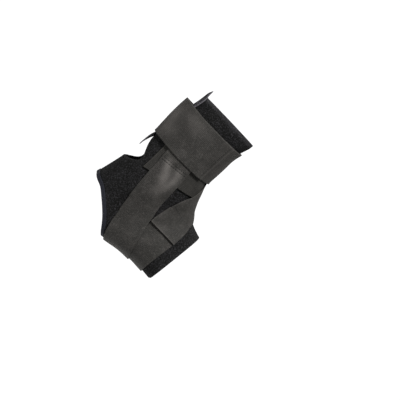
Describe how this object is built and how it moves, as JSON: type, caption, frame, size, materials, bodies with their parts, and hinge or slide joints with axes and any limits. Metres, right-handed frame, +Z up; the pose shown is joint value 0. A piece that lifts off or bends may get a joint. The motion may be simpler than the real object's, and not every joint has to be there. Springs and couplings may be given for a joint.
{
  "type": "ankle brace",
  "caption": "Open-heel ankle brace: padded knit sleeve with a rear slit, wrapped in elastic straps round the leg, under the foot as a stirrup and over the instep.",
  "frame": {"origin": "where the ankle joint of the foot sits, in the middle of the hollow", "axes": "+Z up the leg, +X towards the toes, +Y towards the inner side of a right foot"},
  "size_m": [0.147, 0.091, 0.2181],
  "materials": {
    "sleeve_knit": "matt loop-faced padded knit",
    "binding_tape": "matt woven tape",
    "flap_loop_knit": "matt loop-faced knit",
    "top_webbing": "ribbed elastic webbing with a soft sheen",
    "ankle_webbing": "ribbed elastic webbing with a soft sheen",
    "stirrup_webbing": "ribbed elastic webbing with a soft sheen",
    "instep_webbing": "ribbed elastic webbing with a soft sheen",
    "arch_webbing": "ribbed elastic webbing with a soft sheen"
  },
  "bodies": {
    "root": {"sleeve": "sleeve_knit", "heel_trim": "binding_tape", "closure_flap": "flap_loop_knit", "top_strap": "top_webbing", "ankle_strap": "ankle_webbing", "stirrup_strap": "stirrup_webbing", "instep_strap": "instep_webbing", "arch_strap": "arch_webbing"}
  },
  "joints": []
}
